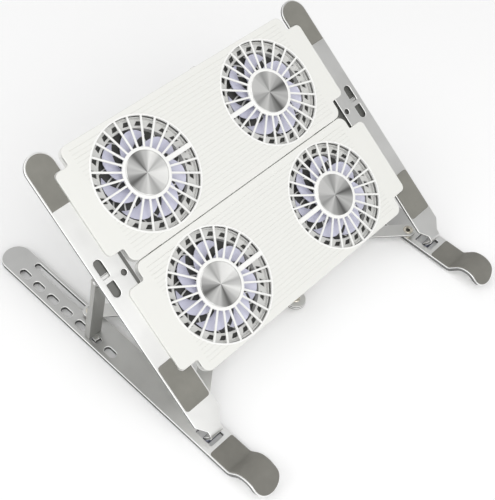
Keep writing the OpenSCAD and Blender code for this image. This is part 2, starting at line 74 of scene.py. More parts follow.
STRUT_W, STRUT_T, STRUT_L, STRUT_STEP = 11, 1.4, 71.9, 33
STRUT_R, STRUT_FRONT, STRUT_BACK, STRUT_WIDE, STRUT_LEAN = 3.1, -1, 2.2, 3.8, 7.35
BAR_T, BAR_W, BAR_LAYER = 1.5, 11, (0.4, 2.3)
BRACE_Y, SLOT_PIN_Y, CROSS_AT, CENTRE_R = 25.4, 132, 0.59, 7.5
PANEL_HALF, PANEL_TOP, SKIN, SKIRT_N = 102.6, 2, 1.6, -3.4
PANEL_U = ((38.5, 122.2), (122.8, 208))
TAB_X, TAB_U = (116.4, 114.4), ((50, 111), (134.5, 196))
CORNER_R, TAB_R = 6, 4
RIB_PITCH, RIB_PHASE, RIB_DEPTH, RIB_HALF, RIB_MARGIN = 3.0, 2.25, 0.26, 0.5, 3.2
RIB_EDGE_X = 97.0
FAN_X, FAN_U = 58.7, (78.9, 165.7)
GRILLE_R, GRILLE_PLAY, SPOKES, HUB_R, HUB_RING = 38.7, 0.3, 24, 15.2, 2.3
SPOKE_W, WIDE_SPOKE_W = 1.5, 3.6
ROTOR_R, ROTOR_HUB_R, BLADES, BLADE_BOTTOM = 30.6, 12.5, 7, -7.4
BASE_N, DUCT_R, MOTOR_R, FRAME_TOP, RIM_TOP, WALL_T = -10, 31.5, 11, -3.6, -1.3, 1.4
WINDOW_OUT, WINDOW_IN, WINDOW_HALF, WINDOW_SKEW = 36.2, 33.2, 3.6, 1.4
VANES, VANE_R, VANE_SWEEP, VANE_HALF, SHADE_RING_OUT = 16, 12, 0.65, 0.63, 38.2
# How far each disc is turned, which sets where its painted highlight wedges fall.
DISC_HIGHLIGHT_TURN = {"rear_left": 0, "front_left": 75, "rear_right": 175, "front_right": 165}

# ---------------------------------------------------------------- frames, read from the joints
HINGE = Vector(JOINTS["deck_lift"]["pos_m"])
NORMAL = Vector(JOINTS["pad_lift_off"]["axis"])
UP_DECK = Vector((0, NORMAL.z, -NORMAL.y))
TILT = math.atan2(UP_DECK.z, UP_DECK.y)


def placed(origin, u, n):
    """A frame in metres with X across the stand, its second axis u and its third n."""
    m = Matrix.Identity(4)
    for k, column in enumerate((Vector((1, 0, 0)), u, n, origin)):
        m[0][k], m[1][k], m[2][k] = column
    return m


LEGS = placed(
    Vector((0, HINGE.y - HINGE_Y * MM, HINGE.z - HINGE_Z * MM)), Vector((0, 1, 0)), Vector((0, 0, 1))
)
DECK = placed(
    Vector((0, HINGE.y, HINGE.z)) - PIN_U * MM * UP_DECK - PIN_N * MM * NORMAL, UP_DECK, NORMAL
)


def strut_frame(side):
    return (
        DECK
        @ Matrix.Translation(Vector((side * LUG_X, LUG_U, LUG_N)) * MM)
        @ Matrix.Rotation(math.radians(STRUT_LEAN) - TILT, 4, "X")
    )


# ---------------------------------------------------------------- outlines
def arc(cx, cy, r, a0, a1, steps):
    return [
        (cx + r * math.cos(math.radians(a0 + (a1 - a0) * i / steps)),
         cy + r * math.sin(math.radians(a0 + (a1 - a0) * i / steps)))
        for i in range(steps + 1)
    ]


def circle(cx, cy, r, steps=48):
    return arc(cx, cy, r, 0, 360, steps)[:-1]


def rounded(x0, y0, x1, y1, r, steps=8):
    return (
        arc(x1 - r, y0 + r, r, -90, 0, steps) + arc(x1 - r, y1 - r, r, 0, 90, steps)
        + arc(x0 + r, y1 - r, r, 90, 180, steps) + arc(x0 + r, y0 + r, r, 180, 270, steps)
    )


def stadium(x, y0, y1, w):
    return rounded(x - w / 2, y0, x + w / 2, y1, w / 2 - 0.001, 12)


def mirrored(outline, side):
    return outline if side > 0 else [(-x, y) for x, y in reversed(outline)]


def inset(outline, d):
    """The outline moved inward by d; outward where d is negative. It runs anticlockwise."""
    made = []
    for i, (x, y) in enumerate(outline):
        (px, py), (qx, qy) = outline[i - 1], outline[(i + 1) % len(outline)]
        a, b = Vector((x - px, y - py)), Vector((qx - x, qy - y))
        a = a.normalized() if a.length > 1e-9 else b.normalized()
        b = b.normalized() if b.length > 1e-9 else a
        na, nb = Vector((-a.y, a.x)), Vector((-b.y, b.x))
        step = (na + nb) / max(0.3, 1 + na.dot(nb)) * d
        made.append((x + step.x, y + step.y))
    return made


def corners(points, steps=5):
    """An outline through corners given as (x, y, radius), each rounded."""
    made = []
    for i, (x, y, r) in enumerate(points):
        p = Vector((x, y))
        a = (Vector(points[i - 1][:2]) - p).normalized()
        b = (Vector(points[(i + 1) % len(points)][:2]) - p).normalized()
        cut = r / math.tan(math.acos(a.dot(b)) / 2)
        for k in range(steps + 1 if r else 1):
            t = k / steps
            q = p + a * cut * (1 - t) ** 2 + b * cut * t * t
            made.append((q.x, q.y))
    return made


# ---------------------------------------------------------------- meshes
# The metals read this face mark to paint a highlight on the rounded edges and shade on the cut walls.
EDGE, CHAMFER, WALL = "edge", 0.5, 1.0  # the face value that marks rounded edges and cut walls
SMOOTH_ANGLE = 38


def finish_mesh(name, bm, material, body, matrix, angle=SMOOTH_ANGLE):
    """Makes the object from a bmesh in millimetres, in its own frame, and lets it ride its body."""
    bmesh.ops.remove_doubles(bm, verts=bm.verts[:], dist=1e-5)
    bmesh.ops.recalc_face_normals(bm, faces=bm.faces[:])
    bmesh.ops.scale(bm, vec=(MM, MM, MM), verts=bm.verts[:])
    mesh = bpy.data.meshes.new(name)
    bm.to_mesh(mesh)
    bm.free()
    mesh.polygons.foreach_set("use_smooth", [True] * len(mesh.polygons))
    mesh.set_sharp_from_angle(angle=math.radians(angle))
    obj = bpy.data.objects.new(name, mesh)
    bpy.context.scene.collection.objects.link(obj)
    obj.matrix_world = matrix
    obj.data.materials.append(material)
    normals = obj.modifiers.new("normals", "WEIGHTED_NORMAL")
    normals.keep_sharp = True
    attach(obj, body)
    return obj


def add_plate(bm, outline, holes, z0, z1, top=0.3, bottom=0.3, steps=3):
    """A flat plate with holes, from z0 to z1, its edges rounded by top and bottom."""
    profile = []
    for r, z, turn in ((bottom, z0, 1), (top, z1, -1)):
        side = [
            (r * (1 - math.sin(math.pi / 2 * k / steps)),
             z + turn * r * (1 - math.cos(math.pi / 2 * k / steps)))
            for k in range(steps + 1)
        ] if r > 0 else [(0, z)]
        profile += side if turn > 0 else side[::-1]
    caps = {0: [], len(profile) - 1: []}
    edge = bm.faces.layers.float.get(EDGE) or bm.faces.layers.float.new(EDGE)
    for number, loop in enumerate([outline, *holes]):
        rings = []
        for k, (d, z) in enumerate(profile):
            points = inset(loop, d if number == 0 else -d)
            rings.append([bm.verts.new((x, y, z)) for x, y in points])
            if k in caps:
                caps[k].append(rings[-1])
        for k, (low, high) in enumerate(zip(rings, rings[1:])):
            upright = profile[k][0] == profile[k + 1][0]
            for i in range(len(low)):
                j = (i + 1) % len(low)
                bm.faces.new((low[i], low[j], high[j], high[i]))[edge] = WALL if upright else CHAMFER
    for loops in caps.values():
        flat = [v for loop in loops for v in loop]
        borders = [[Vector((v.co.x, v.co.y, 0)) for v in loop] for loop in loops]
        for tri in geometry.tessellate_polygon(borders):
            face = [flat[i] for i in tri]
            if len(set(face)) == 3 and bm.faces.get(face) is None:
                bm.faces.new(face)


def plate(name, outline, holes, z0, z1, material, body, matrix, top=0.3, bottom=0.3, shape=None):
    bm = bmesh.new()
    add_plate(bm, outline, holes, z0, z1, top, bottom)
    if shape:
        shape(bm)
    return finish_mesh(name, bm, material, body, matrix)


def cut_across(bm, places, axis=1):
    """Divides the mesh along planes across one axis, so that it can be bent or pressed there."""
    normal = [float(k == axis) for k in range(3)]
    for place in places:
        bmesh.ops.bisect_plane(
            bm, geom=bm.verts[:] + bm.edges[:] + bm.faces[:], dist=1e-6,
            plane_co=[place * c for c in normal], plane_no=normal
        )


def move_new(bm, before, matrix):
    """Moves the vertices that were added after the first `before` ones."""
    bm.verts.ensure_lookup_table()
    bmesh.ops.transform(bm, matrix=matrix, verts=bm.verts[before:])


def add_lathe(bm, profile, centre=(0, 0, 0), steps=48, axis="Z"):
    """A turned piece: profile lists (radius, height) from one end to the other."""
    rings = []
    for r, h in profile:
        ring = []
        for i in range(steps if r > 1e-6 else 1):
            a = 2 * math.pi * i / steps
            p = Vector((r * math.cos(a), r * math.sin(a), h))
            if axis == "X":
                p = Vector((p.z, p.x, p.y))
            ring.append(bm.verts.new(p + Vector(centre)))
        rings.append(ring)
    for low, high in zip(rings, rings[1:]):
        for i in range(steps):
            j = (i + 1) % steps
            quad = [low[i % len(low)], low[j % len(low)], high[j % len(high)], high[i % len(high)]]
            face = list(dict.fromkeys(quad))
            if len(face) > 2:
                bm.faces.new(face)


def turned(name, profile, centre, material, body, matrix, axis="Z", steps=48):
    bm = bmesh.new()
    add_lathe(bm, profile, centre, steps, axis)
    return finish_mesh(name, bm, material, body, matrix)


def join_into(bm, part):
    """Adds the mesh of a part to another mesh and frees the part."""
    piece = bpy.data.meshes.new("piece")
    part.to_mesh(piece)
    part.free()
    bm.from_mesh(piece)
    bpy.data.meshes.remove(piece)


def soft_tube(inner, r, h0, h1, edge=0.3):
    """The closed profile of a tube whose outer edges are bevelled."""
    outside = [(r - edge, h0), (r, h0 + edge), (r, h1 - edge), (r - edge, h1)]
    return [(inner, h0), *outside, (inner, h1), (inner, h0)]


def soft_rod(r, h0, h1, edge=0.3, steps=3):
    """Profile of a rod with rounded ends."""
    turns = [math.pi / 2 * k / steps for k in range(steps + 1)]
    low = [(r - edge * (1 - math.sin(a)), h0 + edge * (1 - math.cos(a))) for a in turns]
    high = [(q, h1 - (h - h0)) for q, h in reversed(low)]
    return [(0, h0)] + low + high + [(0, h1)]


# ---------------------------------------------------------------- materials
class Nodes:
    """A Principled material and short ways to add nodes to it."""

    def __init__(self, name, base, metallic, roughness, **sockets):
        self.material = bpy.data.materials.new(name)
        self.material.use_nodes = True
        self.tree = self.material.node_tree
        self.shader = self.tree.nodes["Principled BSDF"]
        self.set("Base Color", (*base, 1))
        self.set("Metallic", metallic)
        self.set("Roughness", roughness)
        for socket, value in sockets.items():
            self.set(socket.replace("_", " "), value)
        self.coords = self.add("ShaderNodeTexCoord").outputs["Object"]

    def set(self, socket, value):
        self.shader.inputs[socket].default_value = value

    def add(self, kind, **settings):
        node = self.tree.nodes.new(kind)
        for key, value in settings.items():
            setattr(node, key, value)
        return node

    def link(self, a, b):
        self.tree.links.new(a, b)

    def scaled(self, scale):
        node = self.add("ShaderNodeMapping")
        self.link(self.coords, node.inputs["Vector"])
        node.inputs["Scale"].default_value = scale
        return node.outputs["Vector"]

    def noise(self, scale, detail=4, roughness=0.6, stretch=(1, 1, 1)):
        node = self.add("ShaderNodeTexNoise")
        self.link(self.scaled(stretch), node.inputs["Vector"])
        node.inputs["Scale"].default_value = scale
        node.inputs["Detail"].default_value = detail
        node.inputs["Roughness"].default_value = roughness
        return node.outputs["Fac"]

    def ramp(self, value, stops):
        node = self.add("ShaderNodeValToRGB")
        self.link(value, node.inputs["Fac"])
        elements = node.color_ramp.elements
        while len(elements) < len(stops):
            elements.new(0.5)
        for element, (place, colour) in zip(elements, stops):
            element.position = place
            element.color = (*colour, 1) if len(colour) == 3 else (colour[0],) * 3 + (1,)
        return node.outputs["Color"]

    def attribute(self, name):
        return self.add("ShaderNodeAttribute", attribute_name=name).outputs["Fac"]

    def multiplied(self, a, b):
        node = self.add("ShaderNodeMix", data_type="RGBA", blend_type="MULTIPLY")
        node.inputs["Factor"].default_value = 1.0
        self.link(a, node.inputs["A"])
        self.link(b, node.inputs["B"])
        return node.outputs["Result"]

    def maths(self, operation, a, b=0.0):
        node = self.add("ShaderNodeMath", operation=operation)
        for socket, value in zip(node.inputs, (a, b)):
            if isinstance(value, (int, float)):
                socket.default_value = value
            else:
                self.link(value, socket)
        return node.outputs[0]

    def split(self):
        node = self.add("ShaderNodeSeparateXYZ")
        self.link(self.coords, node.inputs[0])
        return node.outputs

    def bump(self, height, strength, distance):
        node = self.add("ShaderNodeBump")
        node.inputs["Strength"].default_value = strength
        node.inputs["Distance"].default_value = distance
        self.link(height, node.inputs["Height"])
        self.link(node.outputs["Normal"], self.shader.inputs["Normal"])

    def colour(self, output):
        self.link(output, self.shader.inputs["Base Color"])

    def roughness(self, output):
        self.link(output, self.shader.inputs["Roughness"])


def shade(base, factor):
    return tuple(min(1, c * factor) for c in base)


def satin_metal(name, base, roughness=0.38, stretch=(1, 0.04, 1), variation=0.08,
                chamfer_highlight=1.0, wall=1.0, front=1.0):
    """Bead-blasted and anodised aluminium: a fine grain drawn along one axis, slight patches of tone,
    a painted highlight on the chamfers, painted shade on the cut walls, and a painted reflection that
    brightens the front end."""
    m = Nodes(name, base, 1.0, roughness)
    patches = m.ramp(m.noise(18, 3), [(0.3, shade(base, 1 - variation)), (0.7, shade(base, 1 + variation))])
    # Painted highlight on the chamfers and painted shade on the cut walls: the chamfer and wall factors scale
    # the colour by the face mark.
    edges = m.ramp(m.attribute(EDGE), [(0.1, (1.0,)), (CHAMFER, (chamfer_highlight,)), (WALL, (wall,))])
    # Painted reflection: the front factor brightens the colour towards the front end of the part.
    if front > 1:
        along = m.maths("MULTIPLY", m.maths("ADD", m.split()[1], 0.04), 10)
        edges = m.multiplied(edges, m.ramp(along, [(0.5, (front,)), (0.85, (1.0,))]))
    m.colour(m.multiplied(patches, edges))
    grain = m.noise(2600, 3, 0.7, stretch)
    m.roughness(m.ramp(grain, [(0.3, (roughness - 0.06,)), (0.7, (roughness + 0.08,))]))
    m.bump(grain, 0.12, 0.00006)
    return m.material


def silicone(name, base):
    """Matt silicone: a fine pebbled grain, dusty in places."""
    m = Nodes(name, base, 0.0, 0.62, Specular_IOR_Level=0.35)
    m.colour(m.ramp(m.noise(45, 5), [(0.3, shade(base, 0.9)), (0.72, shade(base, 1.12))]))
    grain = m.noise(1500, 4, 0.75)
    m.roughness(m.ramp(grain, [(0.3, (0.54,)), (0.7, (0.72,))]))
    m.bump(grain, 0.35, 0.00012)
    return m.material


def moulded(name, base, roughness=0.42, grain_scale=1800, grain=0.18, **sockets):
    """Moulded plastic with a fine satin grain."""
    m = Nodes(name, base, 0.0, roughness, **sockets)
    m.colour(m.ramp(m.noise(14, 3), [(0.3, shade(base, 0.985)), (0.7, shade(base, 1.01))]))
    texture = m.noise(grain_scale, 3, 0.6)
    m.roughness(m.ramp(texture, [(0.3, (roughness - 0.05,)), (0.7, (roughness + 0.07,))]))
    m.bump(texture, grain, 0.00005)
    return m


def ribbed_panel(name, base, row):
    """The white panels: painted shade darkens the grooves between the ribs across the top, and the bands
    beside the tabs and the border stay unshaded.
    """
    m = moulded(name, base, 0.42)
    x, u, n = m.split()
    wave = m.maths("SINE", m.maths("MULTIPLY", u, 2 * math.pi / (RIB_PITCH * MM)))
    groove = m.ramp(m.maths("MULTIPLY_ADD", wave, 0.5), [(0.0, (0.0,)), (0.22, (1.0,))])
    inside = m.maths("LESS_THAN", m.maths("ABSOLUTE", x), RIB_EDGE_X * MM)
    low, high = PANEL_U[row]
    inside = m.maths("MULTIPLY", inside, m.maths("GREATER_THAN", u, (low + RIB_MARGIN) * MM))
    inside = m.maths("MULTIPLY", inside, m.maths("LESS_THAN", u, (high - RIB_MARGIN) * MM))
    inside = m.maths("MULTIPLY", inside, m.maths("GREATER_THAN", n, (PANEL_TOP - 0.5) * MM))
    flat = m.maths("SUBTRACT", 1.0, inside)
    height = m.maths("MAXIMUM", groove, flat)
    # Painted shade: the grooves are darkened to 0.965 of the base colour.
    painted_groove_shade = m.ramp(height, [(0.0, shade(base, 0.965)), (1.0, base)])
    m.colour(painted_groove_shade)
    return m.material


def spun_metal(name):
    """A spun disc: fine rings, with painted highlight and painted shade in wedges round the centre."""
    m = Nodes(name, (0.7, 0.7, 0.68), 1.0, 0.3)
    x, y, _ = m.split()
    angle = m.maths("ARCTAN2", y, x)
    radius = m.maths("SQRT", m.maths("ADD", m.maths("MULTIPLY", x, x), m.maths("MULTIPLY", y, y)))
    # Painted highlight and painted shade: wedges by angle round the centre stand in for the reflections on
    # spun metal.
    painted_light_wedge = 0.60
    waves = ((1, 2.32, 0.17), (2, 3.07, 0.06), (4, 4.57, 0.20), (9, 1.7, 0.05), (17, 0.2, 0.03))
    for lobes, turn, share in waves:
        wave = m.maths("SINE", m.maths("ADD", m.maths("MULTIPLY", angle, lobes), turn))
        painted_light_wedge = m.maths("ADD", m.maths("MULTIPLY", wave, share), painted_light_wedge)
    painted_light_tones = [(0.20, (0.18, 0.18, 0.175)), (0.5, (0.60, 0.60, 0.59)), (0.80, (1.0, 1.0, 0.98))]
    m.colour(m.ramp(painted_light_wedge, painted_light_tones))
    rings = m.maths("SINE", m.maths("MULTIPLY", radius, 2 * math.pi / 0.00028))
    m.bump(rings, 0.10, 0.00004)
    return m.material


# The chamfer, wall and front values set each metal's painted highlight, painted shade and painted reflection.
LEG_METAL = satin_metal("leg_anodised", (0.62, 0.62, 0.61), chamfer_highlight=1.55, wall=0.20, front=1.5)
ARM_METAL = satin_metal("arm_anodised", (0.80, 0.80, 0.785), chamfer_highlight=1.25, wall=0.25)
STRUT_METAL = satin_metal("strut_anodised", (0.40, 0.40, 0.385), 0.45, (1, 1, 0.04))
BAR_METAL = satin_metal("bar_anodised", (0.78, 0.78, 0.765), 0.42, (0.04, 1, 1), chamfer_highlight=1.25, wall=0.4)
STEEL = satin_metal("bright_steel", (0.74, 0.74, 0.73), 0.2, (1, 1, 1), 0.03)
DARK_STEEL = satin_metal("blued_steel", (0.22, 0.23, 0.28), 0.3, (0.04, 1, 1))
BRASS = satin_metal("plated_brass", (0.74, 0.70, 0.61), 0.2, (1, 1, 1), 0.05)
SILICONE = silicone("grey_silicone", (0.225, 0.22, 0.195))
SILICONE_DARK = silicone("hook_silicone", (0.185, 0.18, 0.16))
FOOT_RUBBER = silicone("foot_silicone", (0.12, 0.12, 0.11))
PANEL_WHITE = [ribbed_panel(f"{row}_ribbed_white", (0.80, 0.80, 0.765), k) for row, k in ROWS.items()]
WHITE = moulded("moulded_white", (0.82, 0.82, 0.795)).material
GRILLE_WHITE = moulded("grille_white", (0.89, 0.89, 0.87)).material
ROTOR_WHITE = moulded("rotor_lavender", (0.66, 0.66, 0.79), 0.3).material
FRAME_GREY = moulded("frame_grey", (0.68, 0.68, 0.66), 0.5).material
# Dark foam for the outlet gauze; the same material also gives the dark pieces that stand in for painted shade
# in the fans and hollow rivets.
FOAM_AND_SHADE = silicone("dark_foam_and_painted_shade", (0.06, 0.06, 0.057))
BRACKET_METAL = satin_metal("bracket_anodised", (0.20, 0.20, 0.19), 0.5)
DISC = spun_metal("spun_disc")
COPPER = satin_metal("winding_copper", (0.55, 0.27, 0.14), 0.35, (1, 1, 8), 0.15)
BOARD = moulded("board_green", (0.03, 0.16, 0.07), 0.4).material


# ---------------------------------------------------------------- legs, hooks and feet
def hook_point(s, d):
    """Where a point of the hooked strip lies: s along its top face in front of the bend, d below it."""
    if s <= 0:
        return -HOOK_START - s, -d
    first = HOOK_R1 * math.radians(HOOK_RISE)
    second = HOOK_R2 * math.radians(HOOK_CREST)
    if s <= first:
        a = s / HOOK_R1
        return -HOOK_START - (HOOK_R1 + d) * math.sin(a), HOOK_R1 - (HOOK_R1 + d) * math.cos(a)
    rise = math.radians(HOOK_RISE)
    y = -HOOK_START - (HOOK_R1 + d) * math.sin(rise)
    z = HOOK_R1 - (HOOK_R1 + d) * math.cos(rise)
    s -= first
    straight = min(s, HOOK_SLOPE)
    y, z = y - straight * math.cos(rise), z + straight * math.sin(rise)
    s -= straight
    if s <= 0:
        return y, z
    crest_y, crest_z = y - (HOOK_R2 - d) * math.sin(rise), z - (HOOK_R2 - d) * math.cos(rise)
    turn = min(s, second) / HOOK_R2
    a = rise - turn
    y, z = crest_y + (HOOK_R2 - d) * math.sin(a), crest_z + (HOOK_R2 - d) * math.cos(a)
    s -= min(s, second)
    return y - s * math.cos(a), z + s * math.sin(a)


HOOK_LENGTH = HOOK_R1 * math.radians(HOOK_RISE) + HOOK_SLOPE + HOOK_R2 * math.radians(HOOK_CREST) + HOOK_END
BEND_STEP = 0.9


def bend_hook(bm):
    """Bends the front of a flat strip into the hook."""
    count = int(HOOK_LENGTH / BEND_STEP)
    cut_across(bm, [-HOOK_START - HOOK_LENGTH * i / count for i in range(count)])
    for v in bm.verts:
        v.co.y, v.co.z = hook_point(-HOOK_START - v.co.y, -v.co.z)


def leg(side_name, side):
    flat_tip = -HOOK_START - HOOK_LENGTH
    outline = mirrored(stadium(LEG_X, flat_tip, LEG_REAR, LEG_W), side)
    holes = [stadium(HOLE_X, y - HOLE_L / 2, y + HOLE_L / 2, HOLE_W)
             for y in (HOLE_Y + HOLE_PITCH * i for i in range(HOLES))]
    holes.append(stadium(SLOT_X, SLOT_FRONT, SLOT_REAR, SLOT_W))
    holes.append(rounded(
        WINDOW_X - WINDOW_W / 2, WINDOW_Y, WINDOW_X + WINDOW_W / 2, WINDOW_Y + WINDOW_L, 0.6, 3
    ))
    holes = [mirrored(h, side) for h in holes]
    obj = plate(f"{side_name}_leg_strip", outline, holes, -LEG_T, 0, LEG_METAL, f"{side_name}_leg", LEGS,
                0.45, 0.45, bend_hook)
    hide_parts(f"{side_name}_leg")

    w, c = LEG_W - 2, PAD_CORNER
    pad = mirrored(arc(LEG_X, flat_tip + 1 + w / 2, w / 2, 180, 360, 24)
                   + arc(LEG_X + w / 2 - c, -c, c, 0, 90, 4)
                   + arc(LEG_X - w / 2 + c, -c, c, 90, 180, 4), side)
    obj = plate(f"{side_name}_hook_cushion", pad, [], 0, RUBBER_T, SILICONE_DARK, f"{side_name}_leg", LEGS,
                0.35, 0.02, bend_hook)
    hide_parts(f"{side_name}_hook_pad")

    bm = bmesh.new()
    w = LEG_W - 4
    front = rounded(LEG_X - w / 2, FRONT_FOOT[0], LEG_X + w / 2, FRONT_FOOT[1], 3)
    rear = (arc(LEG_X, LEG_REAR - 2 - w / 2, w / 2, 0, 180, 24)
            + arc(LEG_X - w / 2 + c, REAR_FOOT + c, c, 180, 270, 4)
            + arc(LEG_X + w / 2 - c, REAR_FOOT + c, c, 270, 360, 4))
    for outline in (front, rear):
        add_plate(bm, mirrored(outline, side), [], -LEG_T - FOOT_H, -LEG_T, 0.05, 0.4)
    obj = finish_mesh(f"{side_name}_foot_pads", bm, FOOT_RUBBER, f"{side_name}_leg", LEGS)
    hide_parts(f"{side_name}_feet")

    ends = sorted((side * (LEG_X - LEG_W / 2 + 1.4), side * (LEG_X + LEG_W / 2 - 0.6)))
    obj = turned(f"{side_name}_hinge_rod", soft_rod(HINGE_PIN_R, *ends), (0, HINGE_Y, HINGE_Z), STEEL,
                 f"{side_name}_leg", LEGS, "X")
    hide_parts(f"{side_name}_hinge_pin")


# ---------------------------------------------------------------- deck arms
NECK_START = PIN_U + BARREL_R + NECK_R


def bend_neck(bm):
    """Turns the narrow front end of an arm down to its hinge barrel."""
    middle = NECK_R + ARM_T / 2
    quarter = middle * math.pi / 2
    cut_across(bm, [NECK_START - quarter * i / 10 for i in range(11)])
    for v in bm.verts:
        s = NECK_START - v.co.y
        if s <= 0:
            continue
        a = min(s, quarter) / middle
        r = NECK_R + ARM_T + v.co.z
        down = max(0, s - quarter)
        v.co.y = NECK_START - r * math.sin(a)
        v.co.z = -ARM_T - NECK_R + r * math.cos(a) - down


def arm(side_name, side):
    body = f"{side_name}_arm"
    quarter = (NECK_R + ARM_T / 2) * math.pi / 2
    drop = -PIN_N - ARM_T - NECK_R
    low, high = WINDOW_X - NECK_W / 2, WINDOW_X + NECK_W / 2
    left, right = ARM_X - ARM_W / 2, ARM_X + ARM_W / 2
    crown = ARM_END - ARM_W / 2
    foot = NECK_START - quarter - drop
    outline = corners([(high, foot, 0), (high, *NECK_END), (right, *SHOULDER), (right, crown, 0)])
    outline += arc(ARM_X, crown, ARM_W / 2, 0, 180, 32)[1:-1]
    outline += corners([(left, crown, 0), (left, *SHOULDER), (low, *NECK_END), (low, foot, 0)])
    front, rear = ARM_SLOT_U
    r, c = ARM_SLOT_W / 2, 0.7
    x0, x1 = LUG_X - r + c, LUG_X + r - c
    holes = [
        arc(LUG_X, front + r, r - 0.01, 180, 360, 12) + arc(x1, BRIDGE_U[0] - c, c, 0, 90, 3)
        + arc(x0, BRIDGE_U[0] - c, c, 90, 180, 3),
        arc(LUG_X, rear - r, r - 0.01, 0, 180, 12) + arc(x0, BRIDGE_U[1] + c, c, 180, 270, 3)
        + arc(x1, BRIDGE_U[1] + c, c, 270, 360, 3),
        circle(*ARM_HOLE, 24),
    ]
    obj = plate(f"{side_name}_deck_strip", mirrored(outline, side), [mirrored(h, side) for h in holes],
                -ARM_T, 0, ARM_METAL, body, DECK, 0.4, 0.4, bend_neck)
    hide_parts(body)

    bm = bmesh.new()
    ends = sorted((side * (LUG_X - LUG_W / 2), side * (LUG_X + LUG_W / 2)))
    add_lathe(bm, soft_tube(STRUT_PIN_R + BORE_PLAY, LUG_R, *ends), (0, LUG_U, LUG_N), 40, "X")
    web = [(BRIDGE_U[1], -0.6), (BRIDGE_U[0], -0.6), (BRIDGE_U[0], -ARM_T),
           (LUG_U - LUG_R * 0.94, LUG_N + 1), (LUG_U - 1.4, LUG_N + 2.4),
           (LUG_U + 1.4, LUG_N + 2.4), (LUG_U + LUG_R * 0.94, LUG_N + 1),
           (BRIDGE_U[1] + 2, -ARM_T), (BRIDGE_U[1], -ARM_T)]
    verts = [[bm.verts.new((x, u, n)) for u, n in web] for x in ends]
    for i in range(len(web)):
        j = (i + 1) % len(web)
        bm.faces.new((verts[0][i], verts[0][j], verts[1][j], verts[1][i]))
    bm.faces.new(verts[0])
    bm.faces.new(verts[1][::-1])
    finish_mesh(f"{side_name}_strut_lug", bm, ARM_METAL, body, DECK, 30)
    barrel = soft_tube(HINGE_PIN_R + BORE_PLAY, BARREL_R, *sorted((side * low, side * high)))
    turned(f"{side_name}_hinge_barrel", barrel, (0, HINGE_Y, HINGE_Z), DARK_STEEL, body, LEGS,
           "X")

    w = ARM_W - 2.4
    top = ARM_END - 1.2
    outer, inner = ARM_X + w / 2, ARM_X - w / 2
    clear = 0.4
    tab = TAB_X[1] + clear
    edge = TAB_U[1][1] + clear
    shape = ([(inner, edge), (tab - TAB_R, edge)] + arc(tab - TAB_R, edge - TAB_R, TAB_R, 90, 0, 6)[1:]
             + [(tab, UPPER_PAD_U), (outer, UPPER_PAD_U)] + arc(ARM_X, top - w / 2, w / 2, 0, 180, 28)[:-1]
             + [(inner, top - w / 2)])
    obj = plate(f"{side_name}_upper_cushion", mirrored(shape, side), [], 0, RUBBER_T, SILICONE, body, DECK,
                0.3, 0.02)
    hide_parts(f"{side_name}_arm_upper_pad")
    tab = TAB_X[0] + clear
    edge, r = TAB_U[0][0] - clear, PAD_R
    u0, u1 = LOWER_PAD_U
    shape = (arc(inner + r, u0 + r, r, 180, 270, 5) + arc(outer - r, u0 + r, r, 270, 360, 5)
             + arc(outer - r, u1 - r, r, 0, 90, 5) + [(tab, u1)]
             + arc(tab - TAB_R, edge + TAB_R, TAB_R, 0, -90, 6) + [(inner, edge)])
    obj = plate(f"{side_name}_lower_cushion", mirrored(shape, side), [], 0, RUBBER_T, SILICONE, body, DECK,
                0.3, 0.02)
    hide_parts(f"{side_name}_arm_lower_pad")

    back, side_gap = -ARM_T - 0.1, 0.2
    x0, x1, u0, u1 = BRACKET
    lug = rounded(LUG_X - LUG_W / 2 - side_gap, BRIDGE_U[0] - side_gap, LUG_X + LUG_W / 2 + side_gap,
                  BRIDGE_U[0] + 6 + side_gap, 0.3, 2)
    bracket = rounded(x0, u0, x1, u1, 2)
    obj = plate(f"{side_name}_bracket_plate", mirrored(bracket, side), [mirrored(lug, side)],
                back - 1, back, BRACKET_METAL, body, DECK, 0.2, 0.2)
    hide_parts(f"{side_name}_strut_bracket")

    ends = sorted((side * (LUG_X - STRUT_W / 2 - 0.3), side * (LUG_X + STRUT_W / 2 + 0.3)))
    obj = turned(f"{side_name}_strut_rod", soft_rod(STRUT_PIN_R, *ends), (0, LUG_U, LUG_N), STEEL, body, DECK,
                 "X")
    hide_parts(f"{side_name}_strut_pin")


